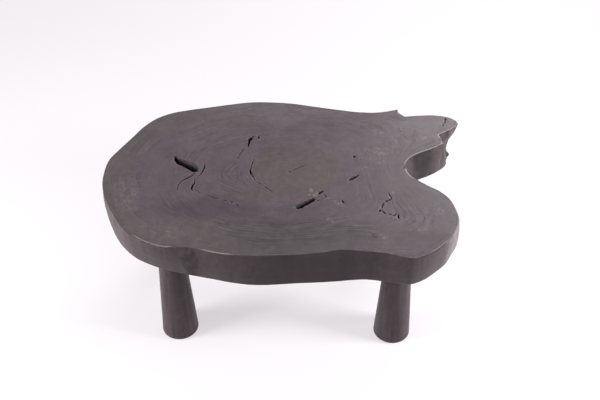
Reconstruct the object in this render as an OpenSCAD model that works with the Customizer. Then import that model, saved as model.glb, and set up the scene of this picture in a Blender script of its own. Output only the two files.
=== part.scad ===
// Low coffee table: a thick live-edge slab cut across a flared trunk, on four turned, tapered legs.
// Origin on the floor under the middle of the slab, +Z up, front of the table towards -Y.

/* [Slab] */
// Length of the slab, left to right
slab_length = 950; // [800:1:1100]
// Depth of the slab, front to back
slab_depth = 635; // [540:1:740]
// Thickness of the slab
slab_thick = 90; // [75:1:110]
// Height of the table top above the floor
table_height = 370; // [320:1:450]
// Rounding of the slab's upper and lower edges
edge_ease = 3; // [1:0.5:4]
// How far the bark side swells out between its edges
edge_swell = 3; // [0:0.5:6]

/* [Legs] */
// Diameter of a leg at its foot
foot_d = 96; // [84:1:110]
// Diameter of a leg where it meets the slab
leg_top_d = 66; // [58:1:76]
// Rounding of the foot's edge
foot_ease = 4; // [1:0.5:8]
// Diameter of the stub tenon on top of a leg
tenon_d = 40; // [30:1:48]
// Length of the stub tenon
tenon_length = 20; // [12:1:26]

/* [Foot pads] */
// How far a felt pad stays inside the flat of its foot
pad_inset = 2; // [0:0.5:10]
// Thickness of a felt pad
pad_thick = 3; // [2:0.5:5]

/* [Leg fasteners] */
// Thread diameter of a hanger bolt
bolt_d = 10; // [8:1:12]
// Pitch of the bolt's machine thread
machine_pitch = 1.5; // [1:0.25:2]
// Pitch of the bolt's wood thread
wood_pitch = 4; // [3:0.5:5]
// Length of the bolt's wood-threaded end
wood_thread_length = 55; // [40:1:80]
// Outer diameter of a threaded insert
insert_d = 16; // [15:0.5:20]
// Length of a threaded insert under its flange
insert_length = 24; // [16:1:26]
// Diameter of the insert's flange
flange_d = 22; // [21:0.5:28]
// Thickness of the insert's flange
flange_thick = 2; // [1:0.5:3]

/* [Fits] */
// Clearance round the tenon in its socket, on each side
tenon_clearance = 0.3; // [0.1:0.1:1]
// Room left above the tenon when the leg's shoulder is tight
seat_gap = 0.8; // [0.2:0.1:0.9]
// Clearance round the metal fasteners, on each side
fastener_clearance = 0.1; // [0.05:0.05:0.3]
// Depth left free at the end of a fastener's hole
end_gap = 0.6; // [0.2:0.1:0.9]

/* [Hidden] */

wood_black = [0.31, 0.28, 0.30];
leg_black = [0.26, 0.24, 0.25];
felt_black = [0.12, 0.12, 0.12];
zinc = [0.72, 0.72, 0.70];
brass = [0.78, 0.64, 0.36];

// Distance between neighbouring points along the slab's edge
rim_step = 14;
// Rings in each rounded edge of the slab, and between the two rounded edges
ease_rings = 2;
wall_rings = 4;
// Height of a thread's ridges
ridge_height = 0.6;
// Steps round a foot's rounded edge, and sides of a full circle
foot_steps = 6;
round_fn = 72;
// How far a cutter runs past the face that it cuts
overcut = 1;

underside = table_height - slab_thick;

// The live edge, clockwise from the left end, traced as it lies at the nominal size.
// Each point is x and y on the top face, then how far the underside lies from it in x and y.
// A point marked sharp is a corner, and the edge runs smoothly through the others.
sharp = true;
edge_points = [
    [-476, 0, 4, 0],
    [-470, 55, 5, -2],
    [-448, 101, 6, -4],
    [-424, 148, 7, -3],
    [-400, 195, 7, -5],
    [-366, 238, 6, -8],
    [-325, 264, 4, -9],
    [-280, 278, 3, -7],
    [-220, 292, 1, -5],
    [-160, 306, 1, -8],
    [-105, 316, 0, -10],
    [-50, 316, 0, -8],
    [10, 310, 0, -5],
    [75, 295, 0, -3],
    [145, 279, 0, -3],
    [200, 268, 0, -6],
    [250, 266, 0, -9],
    [285, 272, 0, -10],
    [313, 281, -3, -14, sharp],
    [314, 265, -1, -10, sharp],
    [322, 256, 1, -8],
    [331, 246.5, 2, -6, sharp],
    [368, 251, 0, -8],
    [405, 253, -2, -11],
    [435, 249, -6, -11],
    [458, 240, -15, -9],
    [472, 227, -24, -2],
    [476, 213, -28, 2],
    [471, 201, -22, 2],
    [456, 187, -6, 4],
    [437, 174, 12, 2],
    [417, 161, 30, -8, sharp],
    [422, 142, 22, -4],
    [424, 121, 8, 2, sharp],
    [404, 106, 3, -4],
    [381, 93, 2, -6],
    [357, 80, 2, -6],
    [334, 64, 3, -5],
    [319, 46, 4, -3],
    [313, 28, 3, -1],
    [315, 8, 2, 0],
    [323, -13, 2, 0],
    [338, -30, 2, 1],
    [362, -52, 2, 2],
    [390, -74, 5, 3],
    [412, -103, 9, 4],
    [424, -145, 12, 2],
    [427, -183, 2, 0],
    [415, -218, -3, 2],
    [393, -254, -2, 2],
    [368, -281, -3, 4],
    [340, -303, -2, 3],
    [300, -318, 0, 1],
    [268, -310, 0, -3],
    [235, -301, 0, -6],
    [195, -295, 0, -6],
    [160, -291, 0, -12],
    [128, -290, 0, -17],
    [104, -296, 1, -13],
    [75, -301, 0, -10],
    [35, -305, 0, -8],
    [-15, -307, 0, -10],
    [-75, -310, 0, -9],
    [-130, -306, 0, -5],
    [-175, -297, 0, -3],
    [-205, -288, 0, -5],
    [-232, -282, 0, -4],
    [-260, -280, 0, 2],
    [-288, -280, 1, 10],
    [-316, -271, 4, 10],
    [-342, -258, 5, 9],
    [-368, -240, 5, 6],
    [-395, -214, 4, 4],
    [-420, -175, 1, 1],
    [-444, -129, 1, 0],
    [-462, -87, 2, 0],
    [-473, -43, 3, 0]
];

// Drying cracks and voids in the top face. Each has its depth in a slab of the traced thickness, then points of
// x, y and width along it.
traced_thick = 90;
cracks = [
    [58, [[-297, 66, 5], [-294, 55, 12], [-283, 43, 22], [-270, 36, 24], [-255, 26, 26], [-244, 16, 25],
        [-238, 7, 20], [-236, 1.5, 10]]],
    [24, [[-237, -4, 1.4], [-242, -9, 2.6], [-248, -17, 3.4], [-258, -25, 4.6], [-265, -31, 2.2], [-273, -40, 2.6],
        [-275.5, -48, 1.4], [-277, -60, 1], [-278.5, -75, 0.7]]],
    [22, [[-216.5, 41, 0.8], [-215, 28, 2.2], [-215.5, 20, 3], [-218, 7, 3.6], [-221, -3.5, 2.6],
        [-224, -11, 1.6], [-229, -18, 1], [-231, -28, 0.8]]],
    [22, [[-236.5, -25, 0.8], [-236.5, -36, 2], [-236, -44, 2.4], [-239, -51, 4.5], [-241, -58, 5.6],
        [-241.5, -66, 4], [-240, -71, 1.6], [-236.5, -77, 1.6]]],
    [3, [[-231.5, -68, 0.8], [-225, -75, 1.1], [-218, -82, 0.7]]],
    [5, [[-197, -92, 0.7], [-187, -98, 1.3], [-176, -104.5, 1.5], [-170, -106, 0.7]]],
    [3, [[-160, -109, 0.7], [-152, -112, 1.2], [-146, -114.5, 0.7]]],
    [6, [[-139, -114, 0.8], [-137, -118.5, 1.7], [-133, -121, 0.7]]],
    [6, [[-126, -123.5, 0.8], [-121.5, -128.5, 1.9], [-118, -135, 0.8]]],
    [30, [[-90.5, 156, 0.8], [-93, 151, 3], [-96, 147, 5.5], [-100, 142, 12], [-102, 136, 10], [-102.5, 129.5, 5.5],
        [-104, 120, 6], [-104.3, 112, 4.6], [-105.3, 105, 1.6]]],
    [14, [[-78, 156, 2], [-78, 150.5, 5.4], [-77.5, 145, 2.6]]],
    [6, [[-115, 98, 1], [-118, 92.5, 2.2], [-122, 84, 1.8], [-126, 72, 1.1], [-130, 57, 0.7]]],
    [24, [[-85.5, 53, 0.8], [-89, 42, 2], [-92.5, 28, 2.4], [-93.5, 15, 1.8], [-95, 5.5, 4.4], [-93.5, -2, 4.6],
        [-90, -11, 3], [-85.5, -22, 2.2], [-81, -33, 1.4]]],
    [2, [[-75, -38.5, 0.7], [-66, -47.5, 1.1], [-57.5, -56, 0.9], [-46.5, -67, 1.1], [-36, -78, 0.7]]],
    [42, [[24, -137, 7], [28, -137, 13], [35, -134.5, 16], [46, -125, 14.5], [60, -115.5, 13], [68.5, -109.5, 11.5],
        [73, -104.5, 7]]],
    [6, [[77, -113, 1], [81, -112.5, 2.6], [84, -110, 1]]],
    [20, [[82.5, -87.5, 2.5], [86, -82, 7.5], [91.5, -77, 5], [97, -74.5, 1.2]]],
    [8, [[97, -90, 1], [99.5, -94.5, 3.4], [103, -99.5, 1]]],
    [14, [[141, -111, 1], [143, -116.5, 3.4], [146, -123, 2]]],
    [26, [[161, -33.5, 2], [166.5, -29, 5.5], [174.5, -23.5, 7.5], [182, -17.5, 4.5], [189, -11.5, 1]]],
    [12, [[180, 69, 3], [179.5, 64, 5.4], [179, 59.5, 3]]],
    [3, [[16, 8, 0.7], [24, 13.5, 2], [34, 19, 1.2], [47, 26.5, 0.6]]],
    [3, [[5, 1, 0.8], [9, 2.6, 2.2], [13, 4, 0.8]]],
    [8, [[260.5, -83, 1], [261, -89, 2.8], [262.5, -95, 1.4], [266, -100, 2], [264, -107, 3], [258, -111, 2.2],
        [253, -114, 4.5], [249, -117, 1.2]]],
    [8, [[246, -120, 1], [243.5, -125, 2.4], [241, -133, 2.6], [238, -140, 1]]],
    [8, [[236, -145, 1.4], [234, -150, 4.2], [232, -154, 1.4]]],
    [8, [[239, -150, 1], [241.5, -153.5, 2.6], [245, -159, 3.8], [248, -162, 1]]],
    [5, [[255, -163, 1], [258, -164, 2.2], [261, -165, 1]]],
    [7, [[264, -169, 1.4], [267, -167, 2.8], [271, -164.5, 2], [273, -163, 0.8]]],
    [8, [[279.5, -165, 1.2], [278.5, -169, 2.6], [277.5, -175, 4], [278.5, -179, 1.2]]],
    [12, [[444.5, 238, 0.8], [442.5, 232, 4.4], [441, 225, 1.6], [440, 216, 2], [438, 209, 0.8]]],
    [8, [[434.5, 211, 0.8], [433, 206.5, 1.6], [432, 201, 0.8]]]
];

// Where the legs stand, in the same frame as the live edge
leg_spots = [[-287, -208], [281, -221], [-275, 165], [248, 165]];

// Small helpers
function unit(v) = v / norm(v);
function xy(p) = [p[0], p[1]];
function xs(points) = [for (p = points) p[0]];
function ys(points) = [for (p = points) p[1]];

// Direction of the edge at point i: that of the circle through it and its neighbours, or of one side at a corner
function edge_direction(points, i, leaving) =
    let (
        n = len(points),
        before = points[i] - points[(i + n - 1) % n],
        after = points[(i + 1) % n] - points[i]
    )
    edge_points[i][4] == sharp
        ? unit(leaving ? after : before)
        : unit(before / (before * before) + after / (after * after));

function cubic(a, b, da, db, t) =
    let (l = norm(b - a))
    a * (2 * t * t * t - 3 * t * t + 1) + b * (3 * t * t - 2 * t * t * t)
        + da * l * (t * t * t - 2 * t * t + t) + db * l * (t * t * t - t * t);

top_points = [for (p = edge_points) xy(p)];
under_points = [for (p = edge_points) [p[0] + p[2], p[1] + p[3]]];

// How many steps each stretch of the edge takes, the same on the top face and on the underside
edge_steps = [
    for (i = [0:len(top_points) - 1])
        max(1, round(norm(top_points[(i + 1) % len(top_points)] - top_points[i]) / rim_step))
];

function smooth_edge(points) = [
    for (i = [0:len(points) - 1])
        let (
            j = (i + 1) % len(points),
            leave = edge_direction(points, i, true),
            arrive = edge_direction(points, j, false)
        )
        for (k = [0:edge_steps[i] - 1])
            cubic(points[i], points[j], leave, arrive, k / edge_steps[i])
];

traced_top = smooth_edge(top_points);
traced_under = smooth_edge(under_points);

// Outward direction at each point of a clockwise outline
function outward(points, i) =
    let (
        n = len(points),
        along = points[(i + 1) % n] - points[(i + n - 1) % n]
    )
    unit([-along[1], along[0]]);

function grown(points, by) = [for (i = [0:len(points) - 1]) points[i] + by * outward(points, i)];

// The traced edge as it lies at a share t of the way up the wall
function traced_at(t) = [for (i = [0:len(traced_top) - 1]) traced_under[i] * (1 - t) + traced_top[i] * t];

// The swollen wall's widest rings set the box that is stretched to the slab's length and depth
wall_shares = [for (k = [0:wall_rings]) k / wall_rings];
widest = [for (t = wall_shares) each grown(traced_at(t), edge_swell * sin(180 * t))];
box_low = [min(xs(widest)), min(ys(widest))];
box_high = [max(xs(widest)), max(ys(widest))];
box_middle = (box_low + box_high) / 2;
stretch = [slab_length / (box_high[0] - box_low[0]), slab_depth / (box_high[1] - box_low[1])];

// A traced point at its real place on the table
function placed(p) = [(p[0] - box_middle[0]) * stretch[0], (p[1] - box_middle[1]) * stretch[1]];

// Distance from the flat face, and inset, at each ring of a rounded edge. The outermost ring lies past the face,
// so that a level cut through it leaves the flat face whole.
function ease_curve(a) = [edge_ease * (1 - cos(a)), edge_ease * (1 - sin(a))];
ease_rounds = concat(
    [2 * ease_curve(0) - ease_curve(90 / ease_rings)],
    [for (k = [1:ease_rings - 1]) ease_curve(90 * k / ease_rings)]
);

// Rings of the slab from the underside up: height, share of the way up the wall, and inset of the rounded edge
wall_height = slab_thick - 2 * edge_ease;
slab_rings = concat(
    [for (e = ease_rounds) [e[0], 0, e[1]]],
    [for (t = wall_shares) [edge_ease + wall_height * t, t, 0]],
    [for (k = [ease_rings - 1:-1:0]) [slab_thick - ease_rounds[k][0], 1, ease_rounds[k][1]]]
);

function slab_ring(ring) =
    let (outline = [for (p = grown(traced_at(ring[1]), edge_swell * sin(180 * ring[1]))) placed(p)])
    [for (p = grown(outline, -ring[2])) [p[0], p[1], underside + ring[0]]];

// A closed solid through rings of equal length, given from the bottom up, each clockwise seen from above
module loft(rings) {
    n = len(rings[0]);
    m = len(rings);
    walls = [
        for (r = [0:m - 2])
            for (i = [0:n - 1])
                let (a = r * n + i, b = r * n + (i + 1) % n)
                each [[a, b + n, a + n], [a, b, b + n]]
    ];
    floor_face = [for (i = [n - 1:-1:0]) i];
    roof_face = [for (i = [0:n - 1]) (m - 1) * n + i];
    polyhedron(points = [for (ring = rings) each ring], faces = concat([floor_face, roof_face], walls));
}

// Outline of a crack: up one side of its points and back down the other, half its width away
function crack_side(points, i, side) =
    let (
        n = len(points),
        along = unit(xy(points[min(i + 1, n - 1)]) - xy(points[max(i - 1, 0)]))
    )
    xy(points[i]) + side * points[i][2] / 2 * [-along[1], along[0]];

function crack_outline(points) =
    let (n = len(points))
    concat(
        [for (i = [0:n - 1]) placed(crack_side(points, i, 1))],
        [for (i = [n - 1:-1:0]) placed(crack_side(points, i, -1))]
    );

module crack_cutter(crack) {
    depth = crack[0] * slab_thick / traced_thick;
    translate([0, 0, table_height - depth])
        linear_extrude(height = depth + overcut)
            polygon(crack_outline(crack[1]));
}

module at_leg(i) {
    spot = placed(leg_spots[i]);
    translate([spot[0], spot[1], 0]) children();
}

// Heights at the joint between a leg and the slab
socket_depth = tenon_length + seat_gap;
tenon_top = underside + tenon_length;
insert_mouth = underside + socket_depth;
insert_end = insert_mouth + flange_thick + insert_length;

// The stepped hole that takes a leg's tenon, the insert's flange and the insert
module joint_cutter() {
    translate([0, 0, underside - overcut])
        cylinder(h = socket_depth + overcut, d = tenon_d + 2 * tenon_clearance, $fn = round_fn);
    translate([0, 0, insert_mouth - overcut])
        cylinder(h = flange_thick + overcut, d = flange_d + 2 * fastener_clearance, $fn = round_fn);
    translate([0, 0, insert_mouth])
        cylinder(h = insert_end + end_gap - insert_mouth, d = insert_d + 2 * fastener_clearance, $fn = round_fn);
}

module slab_top() {
    color(wood_black)
        difference() {
            intersection() {
                loft([for (ring = slab_rings) slab_ring(ring)]);
                translate([-slab_length, -slab_depth, underside])
                    cube([2 * slab_length, 2 * slab_depth, slab_thick]);
            }
            for (crack = cracks) crack_cutter(crack);
            for (i = [0:len(leg_spots) - 1]) at_leg(i) joint_cutter();
        }
}

// A leg tapers straight from its shoulder to the rounded edge of its foot
leg_taper = (foot_d - leg_top_d) / 2 / (underside - pad_thick);
foot_flat_r = foot_d / 2 - leg_taper * foot_ease - foot_ease;
foot_curve = [
    for (k = [0:foot_steps])
        let (a = 90 * k / foot_steps)
        [foot_flat_r + foot_ease * sin(a), pad_thick + foot_ease * (1 - cos(a))]
];
leg_outline = concat(
    [[0, pad_thick]],
    foot_curve,
    [[leg_top_d / 2, underside], [tenon_d / 2, underside], [tenon_d / 2, tenon_top], [0, tenon_top]]
);

module leg() {
    color(leg_black)
        difference() {
            rotate_extrude($fn = round_fn) polygon(leg_outline);
            translate([0, 0, tenon_top - wood_thread_length - end_gap])
                cylinder(
                    h = wood_thread_length + end_gap + overcut,
                    d = bolt_d + 2 * fastener_clearance,
                    $fn = round_fn
                );
        }
}

module foot_pad() {
    color(felt_black) cylinder(h = pad_thick, r = foot_flat_r - pad_inset, $fn = round_fn);
}

// Ridges of a thread between two heights, from root to crest and back once for each pitch
function ridges(low, high, pitch, crest) =
    let (count = floor((high - low) / pitch), step = (high - low) / count)
    [
        for (k = [0:count - 1])
            each [[crest - ridge_height, low + k * step], [crest, low + (k + 0.5) * step]]
    ];

module hanger_bolt() {
    low = tenon_top - wood_thread_length;
    high = insert_end;
    crest = bolt_d / 2;
    core = crest - ridge_height;
    color(zinc)
        rotate_extrude($fn = round_fn)
            polygon(concat(
                [[0, low]],
                ridges(low, tenon_top, wood_pitch, crest),
                ridges(tenon_top, high, machine_pitch, crest),
                [[core, high], [0, high]]
            ));
}

module threaded_insert() {
    sleeve = insert_d / 2;
    color(brass)
        difference() {
            rotate_extrude($fn = round_fn)
                polygon(concat(
                    [[0, insert_mouth], [flange_d / 2, insert_mouth], [flange_d / 2, insert_mouth + flange_thick]],
                    ridges(insert_mouth + flange_thick, insert_end, wood_pitch, sleeve),
                    [[sleeve - ridge_height, insert_end], [0, insert_end]]
                ));
            translate([0, 0, insert_mouth - overcut])
                cylinder(
                    h = insert_end - insert_mouth + 2 * overcut,
                    d = bolt_d + 2 * fastener_clearance,
                    $fn = round_fn
                );
        }
}

slab_top();
at_leg(0) leg();  // leg_front_left
at_leg(1) leg();  // leg_front_right
at_leg(2) leg();  // leg_rear_left
at_leg(3) leg();  // leg_rear_right
at_leg(0) foot_pad();  // foot_pad_front_left
at_leg(1) foot_pad();  // foot_pad_front_right
at_leg(2) foot_pad();  // foot_pad_rear_left
at_leg(3) foot_pad();  // foot_pad_rear_right
at_leg(0) hanger_bolt();  // hanger_bolt_front_left
at_leg(1) hanger_bolt();  // hanger_bolt_front_right
at_leg(2) hanger_bolt();  // hanger_bolt_rear_left
at_leg(3) hanger_bolt();  // hanger_bolt_rear_right
at_leg(0) threaded_insert();  // insert_front_left
at_leg(1) threaded_insert();  // insert_front_right
at_leg(2) threaded_insert();  // insert_rear_left
at_leg(3) threaded_insert();  // insert_rear_right
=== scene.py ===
"""Looks of a low coffee table: a thick, blackened live-edge slab on four turned, tapered legs.

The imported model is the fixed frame, in metres: the floor is z = 0, +X runs to the right along the slab, and
-Y points to the viewer. The slab, the legs and the foot pads are remade in full detail over it, and the
fasteners keep their solids and get their metal.
"""

import logging
import math
from dataclasses import dataclass
from enum import Enum
from typing import Iterable, Sequence

import bmesh
import bpy
import numpy as np
from mathutils import Euler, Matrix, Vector, noise
from mathutils.bvhtree import BVHTree
from mathutils.kdtree import KDTree


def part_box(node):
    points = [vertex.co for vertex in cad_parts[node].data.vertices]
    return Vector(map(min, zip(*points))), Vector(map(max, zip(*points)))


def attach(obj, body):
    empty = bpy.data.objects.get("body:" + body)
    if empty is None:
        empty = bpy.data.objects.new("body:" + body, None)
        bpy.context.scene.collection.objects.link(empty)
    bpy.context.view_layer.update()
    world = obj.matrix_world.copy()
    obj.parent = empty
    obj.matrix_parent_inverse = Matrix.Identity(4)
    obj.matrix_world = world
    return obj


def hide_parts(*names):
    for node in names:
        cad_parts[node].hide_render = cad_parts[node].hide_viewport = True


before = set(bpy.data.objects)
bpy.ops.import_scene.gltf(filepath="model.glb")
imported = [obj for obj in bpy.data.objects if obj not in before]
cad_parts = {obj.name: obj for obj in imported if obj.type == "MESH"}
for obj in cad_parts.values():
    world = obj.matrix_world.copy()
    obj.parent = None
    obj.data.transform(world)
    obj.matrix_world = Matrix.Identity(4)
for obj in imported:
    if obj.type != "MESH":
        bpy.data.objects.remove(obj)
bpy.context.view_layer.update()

log = logging.getLogger("coffee_table")

BODY = "root"
CORNERS = ("front_left", "front_right", "rear_left", "rear_right")
MM = 0.001
RINGS_ACROSS = 68.0
Colour = tuple[float, float, float]
Socket = bpy.types.NodeSocket
Feed = float | Sequence[float] | Socket
Look = tuple[Feed, Feed, Feed]
Mesh = bmesh.types.BMesh
Face = bmesh.types.BMFace
Vert = bmesh.types.BMVert


def rough_noise(place: Vector, size: float, octaves: int = 3) -> float:
    """Repeatable noise at a place.

    Args:
        place: a point, in metres.
        size: width of one swell of the noise, in metres.
        octaves: how many finer swells ride on it.

    Returns:
        A height of about -1 to 1.
    """
    return noise.fractal(place / size, 1.0, 2.0, octaves)


def planes(start: float, end: float, pace: float) -> list[float]:
    """Evenly spaced places between a start and an end."""
    return [start + number * pace for number in range(1, math.ceil((end - start) / pace))]


def edges_of(faces: Iterable[Face]) -> list[bmesh.types.BMEdge]:
    """The edges of some faces, each once. A set would give them in another order on every run."""
    return list(dict.fromkeys(edge for face in faces for edge in face.edges))


def verts_of(parts: Iterable[Face | bmesh.types.BMEdge]) -> list[Vert]:
    """The points of some faces or edges, each once and in a fixed order."""
    return list(dict.fromkeys(vert for part in parts for vert in part.verts))


def finder(verts: Sequence[Vert]) -> KDTree:
    """A tree that finds the nearest of some points."""
    tree = KDTree(len(verts))
    for number, vert in enumerate(verts):
        tree.insert(vert.co, number)
    tree.balance()
    return tree


def footing(node: str) -> tuple[Vector, Vector, Vector]:
    """A node's lowest and highest corners, and the point of the floor under its middle."""
    low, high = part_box(node)
    return low, high, Vector(((low.x + high.x) / 2, (low.y + high.y) / 2, 0.0))


def as_object(
    bm: Mesh, name: str, *finishes: bpy.types.Material, sharp: float | None = None
) -> bpy.types.Object:
    """Makes a mesh an object of the scene, and frees it.

    Args:
        bm: the mesh.
        name: the object's name.
        *finishes: its materials, in the order of their numbers.
        sharp: angle in degrees from which its edges stay sharp, where it is smooth.

    Returns:
        The object.
    """
    mesh = bpy.data.meshes.new(name)
    bm.to_mesh(mesh)
    bm.free()
    if sharp is not None:
        mesh.shade_smooth()
        mesh.set_sharp_from_angle(angle=math.radians(sharp))
    for finish in finishes:
        mesh.materials.append(finish)
    piece = bpy.data.objects.new(name, mesh)
    bpy.context.collection.objects.link(piece)
    return piece


def fade(distance: float, reach: float) -> float:
    """Share of an effect that is left at a distance: 1 at its middle, 0 from its reach on."""
    return max(0.0, 1.0 - distance / reach) ** 2


class NodeBench:
    """Places shader nodes in one tree and wires them."""

    def __init__(self, tree: bpy.types.NodeTree) -> None:
        """Keeps the tree that the nodes go in."""
        self.tree = tree

    def wire(self, socket: Socket, feed: Feed) -> None:
        """Gives a socket its value, or the wire that feeds it. A colour gets its alpha."""
        if isinstance(feed, Socket):
            self.tree.links.new(feed, socket)
        elif socket.type == "RGBA" and not isinstance(feed, float):
            socket.default_value = (*feed[:3], 1.0)
        else:
            socket.default_value = feed

    def node(
        self, kind: str, feeds: dict[int | str, Feed] | None = None, **settings: object
    ) -> bpy.types.Node:
        """Places one node.

        Args:
            kind: the node's type, without its ShaderNode prefix.
            feeds: what goes into its inputs, by number or name.
            **settings: the node's own options.

        Returns:
            The node.
        """
        node = self.tree.nodes.new("ShaderNode" + kind)
        for name, value in settings.items():
            setattr(node, name, value)
        for name, feed in (feeds or {}).items():
            self.wire(node.inputs[name], feed)
        return node

    def math(self, operation: str, *values: Feed, clamp: bool = False) -> Socket:
        """Works out one number from others."""
        feeds = dict(enumerate(values))
        return self.node("Math", feeds, operation=operation, use_clamp=clamp).outputs[0]

    def times(self, one: Feed, other: Feed, clamp: bool = False) -> Socket:
        """One number times another."""
        return self.math("MULTIPLY", one, other, clamp=clamp)

    def minus(self, one: Feed, other: Feed) -> Socket:
        """One number less another."""
        return self.math("SUBTRACT", one, other)

    def scaled(self, number: Feed, by: Feed, plus: Feed, clamp: bool = False) -> Socket:
        """One number times another, plus a third."""
        return self.math("MULTIPLY_ADD", number, by, plus, clamp=clamp)

    def shade(self, colour: Feed, by: Feed) -> Socket:
        """A colour made lighter or darker by a factor."""
        return self.blend(1.0, colour, by, "MULTIPLY")

    def vector(self, operation: str, *values: Feed) -> Socket:
        """Works out one vector from others."""
        return self.node("VectorMath", dict(enumerate(values)), operation=operation).outputs[0]

    def stretched(self, place: Feed, scale: Sequence[float], turn: float = 0.0) -> Socket:
        """A place turned about Z, then stretched, so that a pattern on it becomes streaks."""
        feeds = {"Vector": place, "Angle": turn}
        turned = self.node("VectorRotate", feeds, rotation_type="Z_AXIS").outputs[0]
        return self.vector("MULTIPLY", turned, scale)

    def noise(self, place: Feed, scale: Feed, detail: float = 3.0, roughness: float = 0.55) -> Socket:
        """Smooth noise over a place, 0 to 1."""
        feeds = {"Vector": place, "Scale": scale, "Detail": detail, "Roughness": roughness}
        return self.node("TexNoise", feeds).outputs[0]

    def band_noise(self, number: Feed, detail: float = 2.0) -> Socket:
        """Smooth noise along one number, 0 to 1."""
        feeds = {"W": number, "Scale": 1.0, "Detail": detail}
        return self.node("TexNoise", feeds, noise_dimensions="1D").outputs[0]

    def step(self, value: Feed, start: Feed, end: Feed, low: Feed = 0.0, high: Feed = 1.0) -> Socket:
        """A smooth step from low to high, as a value goes from start to end."""
        feeds = dict(enumerate((value, start, end, low, high)))
        return self.node("MapRange", feeds, interpolation_type="SMOOTHSTEP").outputs[0]

    def blend(self, share: Feed, one: Feed, other: Feed, mode: str = "MIX") -> Socket:
        """Two colours mixed by a share."""
        node = self.node("Mix", data_type="RGBA", blend_type=mode)
        for number, feed in ((0, share), (6, one), (7, other)):
            self.wire(node.inputs[number], feed)
        return node.outputs[2]

    def attribute(self, name: str) -> Socket:
        """A number kept on the mesh."""
        return self.node("Attribute", attribute_name=name).outputs["Fac"]

    def place(self) -> Socket:
        """Object coordinates, in metres."""
        return self.node("TexCoord").outputs["Object"]


class SharedEffect:
    """An effect that several finishes use, built once as a node group.

    Attributes:
        title: name of the group.
        takes: its inputs, each with its kind and starting value.
        gives: names of its outputs, all of them numbers.
    """

    title = ""
    takes: dict[str, tuple[str, object]] = {}
    gives: tuple[str, ...] = ()

    def wire(self, bench: NodeBench, given: bpy.types.NodeOutputs) -> tuple[Feed, ...]:
        """Wires the group's inside.

        Args:
            bench: the bench of the group's tree.
            given: the group's inputs, as they come in.

        Returns:
            What goes to each output, in order.
        """
        raise NotImplementedError

    def tree(self) -> bpy.types.NodeTree:
        """The group's tree, built the first time that it is asked for."""
        ready = bpy.data.node_groups.get(self.title)
        if ready:
            return ready
        tree = bpy.data.node_groups.new(self.title, "ShaderNodeTree")
        for name, (kind, start) in self.takes.items():
            socket = tree.interface.new_socket(name, in_out="INPUT", socket_type="NodeSocket" + kind)
            socket.default_value = start
        for name in self.gives:
            tree.interface.new_socket(name, in_out="OUTPUT", socket_type="NodeSocketFloat")
        entry = tree.nodes.new("NodeGroupInput")
        exit_node = tree.nodes.new("NodeGroupOutput")
        bench = NodeBench(tree)
        for socket, feed in zip(exit_node.inputs, self.wire(bench, entry.outputs)):
            bench.wire(socket, feed)
        return tree

    def use(self, bench: NodeBench, **feeds: Feed) -> bpy.types.NodeOutputs:
        """Places the group in a material.

        Args:
            bench: the bench of the material's tree.
            **feeds: what goes into its inputs, named in lower case.

        Returns:
            The group's outputs.
        """
        node = bench.tree.nodes.new("ShaderNodeGroup")
        node.node_tree = self.tree()
        for name, feed in feeds.items():
            bench.wire(node.inputs[name.capitalize()], feed)
        return node.outputs


class GrowthRings(SharedEffect):
    """Growth rings and the streaks along them, from how far out of the trunk a point grew."""

    title = "growth_rings"
    takes = {
        "Growth": ("Float", 0.0),
        "Place": ("Vector", (0.0, 0.0, 0.0)),
        "Rings": ("Float", 50.0),
        "Streak": ("Float", 3.0),
    }
    gives = ("Tone", "Late wood", "Streaks", "Hairlines")

    def wire(self, bench: NodeBench, given: bpy.types.NodeOutputs) -> tuple[Feed, ...]:
        """Rings as noise along the growth, and streaks as noise drawn out along the rings."""
        broad = bench.minus(bench.noise(given["Place"], 7.0, 1.5), 0.5)
        fine = bench.minus(bench.noise(given["Place"], 32.0, 2.0), 0.5)
        sway = bench.scaled(broad, 9.0, bench.times(fine, 0.7))
        spaced = bench.math("POWER", given["Growth"], 1.9)
        number = bench.scaled(spaced, given["Rings"], sway)
        tone = bench.band_noise(number, 3.0)
        late = bench.step(bench.math("FRACT", bench.times(number, 0.5)), 0.72, 0.98)
        flat = bench.vector("MULTIPLY", given["Place"], (1.0, 1.0, 0.0))
        heading = bench.vector("NORMALIZE", flat)
        streaks = self.along(bench, heading, given["Streak"], number, 1.05)
        finer = self.along(bench, heading, bench.times(given["Streak"], 2.2), number, 3.6)
        return tone, late, streaks, bench.step(finer, 0.53, 0.64)

    def along(
        self, bench: NodeBench, heading: Feed, length: Feed, number: Feed, pace: float
    ) -> Socket:
        """Noise that is long along the rings and narrow across them."""
        drawn = bench.vector("SCALE", heading)
        bench.wire(drawn.node.inputs["Scale"], length)
        across = bench.node("CombineXYZ", {2: bench.times(number, pace)}).outputs[0]
        return bench.noise(bench.vector("ADD", drawn, across), 1.0, 4.0, 0.6)


class LongStreaks(SharedEffect):
    """Streaks drawn out along one direction, as grain, flutes and tool marks are."""

    title = "long_streaks"
    takes = {"Place": ("Vector", (0.0, 0.0, 0.0)), "Scale": ("Float", 100.0), "Sharpness": ("Float", 1.0)}
    gives = ("Streaks", "Hairlines")

    def wire(self, bench: NodeBench, given: bpy.types.NodeOutputs) -> tuple[Feed, ...]:
        """Broad noise for the streaks, and its finer kin cut to thin lines."""
        coarse = bench.noise(given["Place"], given["Scale"], 3.0, 0.6)
        streaks = bench.scaled(bench.minus(coarse, 0.5), given["Sharpness"], 0.5, clamp=True)
        finer = bench.noise(given["Place"], bench.times(given["Scale"], 4.0), 2.0)
        return streaks, bench.step(finer, 0.60, 0.70)


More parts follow.
